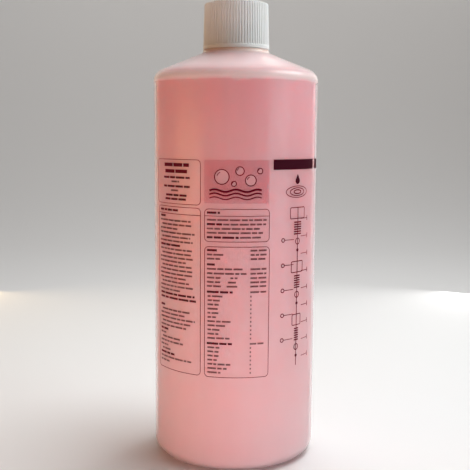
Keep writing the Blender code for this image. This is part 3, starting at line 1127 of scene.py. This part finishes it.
    def row_rule(self, setting: Setting, ink: bpy.types.Material) -> Rule:
        """The rule that fills each row with plain bars of uneven length, and wraps them on the wall."""
        rule = Rule("print_rows", {
            "Height": setting.height * MM, "Shortest": setting.shortest * MM, "Longest": setting.longest * MM,
            "Gap": self.bar_gap, "Seed": 11, **self.sheet(ink),
        })
        shortest, gap, room = rule["Shortest"], rule["Gap"], rule.attribute("row_length")
        numbered = rule.stored(rule["Geometry"], "row", rule.add("GeometryNodeInputIndex"))
        sockets = {"Geometry": numbered, "Amount": (room / (shortest + gap)).rounded_up()}
        placed = rule.add("GeometryNodeDuplicateElements", sockets, domain="POINT")
        length = rule.random(shortest, rule["Longest"])
        group = rule.add("FunctionNodeFloatToInt", {0: rule.attribute("row")}, rounding_mode="ROUND")
        sockets = {"Value": length + gap, "Group ID": group}
        sums = rule.node("GeometryNodeAccumulateField", sockets, data_type="FLOAT").outputs
        placed = rule.stored(placed, "start", Wire(rule, sums["Trailing"]))
        placed = rule.stored(placed, "finish", (Wire(rule, sums["Leading"]) - gap).at_most(room))
        start, finish = rule.attribute("start"), rule.attribute("finish")
        sockets = {"Geometry": placed, "Selection": (finish - start) < shortest * self.least_bar}
        left = rule.add("GeometryNodeDeleteGeometry", sockets, domain="POINT")
        along, up, _ = rule.position()
        half_film = (rule["Film"] - rule["Sink"]) * 0.5
        set_out = rule.moved(left, along + (start + finish) * 0.5, up, half_film)
        bar = rule.add("GeometryNodeMeshCube", {"Size": (1.0, 1.0, 1.0), "Vertices X": self.bar_cuts})
        size = rule.vector(finish - start, rule["Height"], rule["Film"] + rule["Sink"])
        rule.end(rule.wrapped(rule.copied(set_out, bar, size), rule["Wall Radius"]), rule["Ink"])
        return rule

    def stroke_rule(self, ink: bpy.types.Material) -> Rule:
        """The rule that gives each drawn line its width and film, and wraps it on the wall."""
        rule = Rule("print_strokes", self.sheet(ink))
        width = rule.attribute("line_width")
        curve = rule.add("GeometryNodeMeshToCurve", {"Mesh": rule["Geometry"]})
        upright = rule.add("GeometryNodeSetCurveNormal", {"Curve": curve}, mode="Z_UP")
        wide = rule.add("GeometryNodeSetCurveRadius", {"Curve": upright, "Radius": width})
        square = rule.add("GeometryNodeCurvePrimitiveQuadrilateral", {"Width": 1.0, "Height": 1.0})
        sockets = {"Curve": wide, "Profile Curve": square, "Scale": width, "Fill Caps": True}
        bar = rule.add("GeometryNodeCurveToMesh", sockets)
        along, up, out = rule.position()
        level = (out > 0.0) * (rule["Film"] + rule["Sink"]) - rule["Sink"]
        rule.end(rule.wrapped(rule.moved(bar, along, up, level), rule["Wall Radius"]), rule["Ink"])
        return rule

    def measured(self, mesh: bpy.types.Mesh, name: str, lengths: Sequence[float]) -> bpy.types.Mesh:
        """Stores a length in millimetres on each point of a seed mesh."""
        values = mesh.attributes.new(name, "FLOAT", "POINT")
        for i, length in enumerate(lengths):
            values.data[i].value = length * MM
        return mesh

    def set_rows(self, weight: Weight) -> bpy.types.Object:
        """Sets all the rows of one weight, as one piece."""
        label = weight.name.lower()
        ink = ScreenInk(f"maroon_{label}", (0.11, 0.006, 0.018), 0.6, weight.value.cover).material()
        rows = [row for row in self.rows if row.weight is weight]
        seeds = bpy.data.meshes.new("row_seeds")
        seeds.from_pydata([(row.along * MM, row.up * MM, 0.0) for row in rows], [], [])
        self.measured(seeds, "row_length", [row.length for row in rows])
        name = f"print_rows_{label}"
        return shown(name, self.row_rule(weight.value, ink).grow(name, seeds))

    def stroke_seeds(self) -> bpy.types.Mesh:
        """The drawn lines as edges, with each line's width."""
        mesh = bpy.data.meshes.new("stroke_seeds")
        points: list[Point3] = []
        edges: list[tuple[int, int]] = []
        widths: list[float] = []
        for stroke in self.strokes:
            line = self.split(stroke.points, stroke.closed)
            first = len(points)
            points += [(x * MM, y * MM, 0.0) for x, y in line]
            widths += [stroke.width] * len(line)
            edges += [(first + i, first + i + 1) for i in range(len(line) - 1)]
            if stroke.closed:
                edges.append((len(points) - 1, first))
        mesh.from_pydata(points, edges, [])
        return self.measured(mesh, "line_width", widths)

    def slabs(self, name: str, shapes: Sequence[Sequence[Sequence[Point2]]], film: float) -> bpy.types.Mesh:
        """Filled shapes as thin closed slabs on the wall.

        Args:
            name: The mesh's name.
            shapes: Each shape's outline and holes, on the flat sheet.
            film: How far the slab stands out of the wall.

        Returns:
            The slabs as one mesh.
        """
        mesh, right_on = bmesh.new(), Vector((1.0, 0.0, 0.0))
        for loops in shapes:
            flat = bmesh.new()
            corners = [flat.verts.new((x * MM, y * MM, 0.0)) for loop in loops for x, y in loop]
            for triangle in tessellate_polygon([[Vector((x, y, 0.0)) for x, y in loop] for loop in loops]):
                flat.faces.new([corners[i] for i in triangle])
            left = min(x for x, _ in loops[0])
            right = max(x for x, _ in loops[0])
            for i in range(1, ceil((right - left) / self.facet)):
                cut = (left + self.facet * i) * MM
                geometry = flat.verts[:] + flat.edges[:] + flat.faces[:]
                bmesh.ops.bisect_plane(flat, geom=geometry, plane_co=right_on * cut, plane_no=right_on)
            self.thicken(mesh, flat, film)
            flat.free()
        bmesh.ops.recalc_face_normals(mesh, faces=mesh.faces[:])
        return as_mesh(mesh, name)

    def thicken(self, mesh: bmesh.types.BMesh, flat: bmesh.types.BMesh, film: float) -> None:
        """Adds a flat shape to a mesh as a closed slab, wrapped on the wall."""
        def on_wall(place: Vector, out: float) -> tuple[float, float, float]:
            """A point of the sheet, on the wall."""
            angle = place.x / self.wall_radius
            reach = self.wall_radius + out
            return (reach * sin(angle), -reach * cos(angle), place.y)

        flat.verts.index_update()
        over = [mesh.verts.new(on_wall(v.co, film)) for v in flat.verts]
        under = [mesh.verts.new(on_wall(v.co, -self.sink)) for v in flat.verts]
        for face in flat.faces:
            corners = [v.index for v in face.verts]
            mesh.faces.new([over[i] for i in corners])
            mesh.faces.new([under[i] for i in corners[::-1]])
        for edge in flat.edges:
            if len(edge.link_faces) == 1:
                a, b = (v.index for v in edge.verts)
                mesh.faces.new((over[a], over[b], under[b], under[a]))

    def build(self) -> None:
        """Draws everything on the flat sheet, makes the print and hands it to the frame."""
        self.title_box()
        self.directions_box()
        self.note_box()
        self.table_box()
        self.picture_field()
        self.panel_field()
        self.column_figure()
        ink = ScreenInk("maroon_ink", (0.045, 0.003, 0.010), 0.6).material()
        line_ink = ScreenInk("maroon_line", (0.10, 0.004, 0.016), 0.6).material()
        tint = ScreenInk("maroon_tint", (0.72, 0.05, 0.10), 0.6, 0.17).material()
        pieces = [
            *(self.set_rows(weight) for weight in Weight),
            shown("print_lines", self.stroke_rule(line_ink).grow("print_lines", self.stroke_seeds())),
            shown("print_solids", self.slabs("print_solids", self.solids, self.film), ink),
            shown("print_tints", self.slabs("print_tints", self.tints, self.tint_film), tint),
        ]
        for piece in pieces:
            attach(piece, Body.BOTTLE.value)
            LOG.info("print: %s, %d faces", piece.name, len(piece.data.polygons))


@dataclass
class Softbox:
    """One lamp of the studio: a rectangle that faces the bottle."""

    name: str
    place: Point3
    aim: Point3
    size: tuple[float, float]
    power: float
    colour: Colour
    glossy: bool = True
    diffuse: bool = True
    spin: float = 0.0

    def build(self) -> None:
        """Adds the lamp, spun round the line to its aim."""
        data = bpy.data.lights.new(self.name, "AREA")
        data.shape = "RECTANGLE"
        data.size, data.size_y = self.size
        data.energy = self.power
        data.color = self.colour
        lamp = bpy.data.objects.new(self.name, data)
        lamp.location = self.place
        facing = (Vector(self.aim) - Vector(self.place)).to_track_quat("-Z", "Y")
        lamp.rotation_euler = (facing @ Quaternion((0.0, 0.0, 1.0), self.spin)).to_euler()
        lamp.visible_camera = False
        lamp.visible_glossy = self.glossy
        lamp.visible_diffuse = self.diffuse
        bpy.context.scene.collection.objects.link(lamp)


@dataclass
class Studio:
    """Floor, lamps, sky and camera."""

    image_width_px: int = 470
    sensor_width: float = 36.0
    eye: Point3 = (-0.00004, -0.43228, 0.16574)
    down: float = radians(7.612)
    turn: float = radians(0.019)
    roll: float = radians(0.386)
    focal_px: float = 827.72
    shift_y: float = 0.0257
    sky: Colour = (0.90, 0.88, 0.87)
    sky_strength: float = 0.04
    floor_half: float = 3.0
    floor_back: float = 2.3
    floor_bend: float = 1.8

    def camera(self) -> None:
        """Stands the camera where the photo was taken from."""
        forward = Vector((sin(self.turn) * cos(self.down), cos(self.turn) * cos(self.down), -sin(self.down)))
        right = Vector((cos(self.turn), -sin(self.turn), 0.0))
        up = right.cross(forward)
        level_right = cos(self.roll) * right + sin(self.roll) * up
        level_up = cos(self.roll) * up - sin(self.roll) * right
        data = bpy.data.cameras.new("photo_camera")
        data.sensor_width = self.sensor_width
        data.lens = self.focal_px * self.sensor_width / self.image_width_px
        data.shift_y = self.shift_y
        data.clip_start = 0.01
        camera = bpy.data.objects.new("photo_camera", data)
        turn = Matrix((level_right, level_up, -forward)).transposed().to_4x4()
        camera.matrix_world = Matrix.Translation(self.eye) @ turn
        bpy.context.scene.collection.objects.link(camera)
        bpy.context.scene.camera = camera

    def floor(self) -> None:
        """Lays the floor, which rises into a soft backdrop behind the bottle."""
        mesh = bmesh.new()
        half, front, bend = self.floor_half, self.floor_back - self.floor_bend, self.floor_bend
        line = [(-half, 0.0), *arc((front, bend), bend, -pi / 2, 0.0), (self.floor_back, half)]
        rings = [[mesh.verts.new((x, y, z)) for x in (-half, half)] for y, z in line]
        for near, far in zip(rings, rings[1:]):
            mesh.faces.new((near[0], near[1], far[1], far[0]))
        finish = Finish("studio_paper", (0.80, 0.79, 0.78), 0.8).material()
        floor = shown("studio_floor", shaded(mesh, "studio_floor"), finish)

    def lights(self) -> None:
        """Hangs the lamps: bright and cool at the right, warm and dim at the left, soft above."""
        tall, front, white = (0.06, 0.6), (0.0, 0.0, 0.05), (1.0, 1.0, 1.0)
        lamps = (
            Softbox("right_key", (0.66, -0.36, 0.10), (0.0, 0.0, 0.07), (0.45, 0.6), 1.66,
                    (0.74, 0.97, 1.02)),
            Softbox("right_edge", (0.24, 0.42, 0.20), (0.0, 0.0, 0.14), tall, 0.30, white),
            Softbox("cap_side", (0.16, -0.03, 0.29), (0.01, 0.0, 0.215), (0.08, 0.05), 0.090,
                    (0.90, 1.0, 1.0), glossy=False),
            Softbox("left_fill", (-0.60, -0.26, 0.02), (0.0, 0.0, 0.03), (0.5, 0.4), 1.85, (1.0, 0.54, 0.18)),
            Softbox("left_edge", (-0.26, 0.40, 0.20), (0.0, 0.0, 0.14), tall, 0.18, (1.0, 0.74, 0.42)),
            Softbox("front_far", (0.0, -1.10, 0.10), front, (1.0, 0.16), 0.3, (1.0, 0.60, 0.56)),
            Softbox("front_low", (0.0, -0.21, 0.02), front, (0.62, 0.03), 0.31, (1.0, 0.66, 0.69),
                    glossy=False),
            Softbox("shoulder_strip", (0.51, 0.013, 0.626), (0.025, -0.033, 0.196), (0.47, 0.06), 2.6,
                    (1.0, 0.99, 0.98), diffuse=False, spin=radians(-26.9)),
            Softbox("cone_glint", (0.11, 0.60, 0.62), (0.014, -0.03, 0.20), (0.07, 0.10), 0.040,
                    (1.0, 0.90, 0.80), diffuse=False),
            Softbox("top_soft", (0.18, 0.10, 0.78), (0.0, 0.0, 0.20), (0.5, 0.4), 5.6, (0.95, 0.98, 1.0),
                    glossy=False),
            Softbox("backdrop_wash", (0.0, 1.0, 2.2), (0.0, 2.3, 0.9), (2.4, 0.6), 22.0, (1.0, 0.98, 0.96)),
        )
        for lamp in lamps:
            lamp.build()

    def world(self) -> None:
        """Fills the room with an even pale light."""
        world = bpy.data.worlds.new("studio_sky")
        world.use_nodes = True
        background = world.node_tree.nodes["Background"]
        background.inputs["Color"].default_value = (*self.sky, 1.0)
        background.inputs["Strength"].default_value = self.sky_strength
        scene = bpy.context.scene
        scene.world = world
        scene.view_settings.view_transform = "Standard"
        scene.view_settings.look = "None"

    def build(self) -> None:
        """Sets up the studio."""
        self.floor()
        self.lights()
        self.world()
        self.camera()
        LOG.info("studio: floor, lamps, sky and camera")


def main() -> None:
    """Builds the studio and the bottle, sub-assembly by sub-assembly."""
    logging.basicConfig(level=logging.INFO, format="%(name)s: %(message)s")
    Studio().build()
    Bottle().build()
    Cap().build()
    PrintSheet().build()


if __name__ == "__main__":
    main()
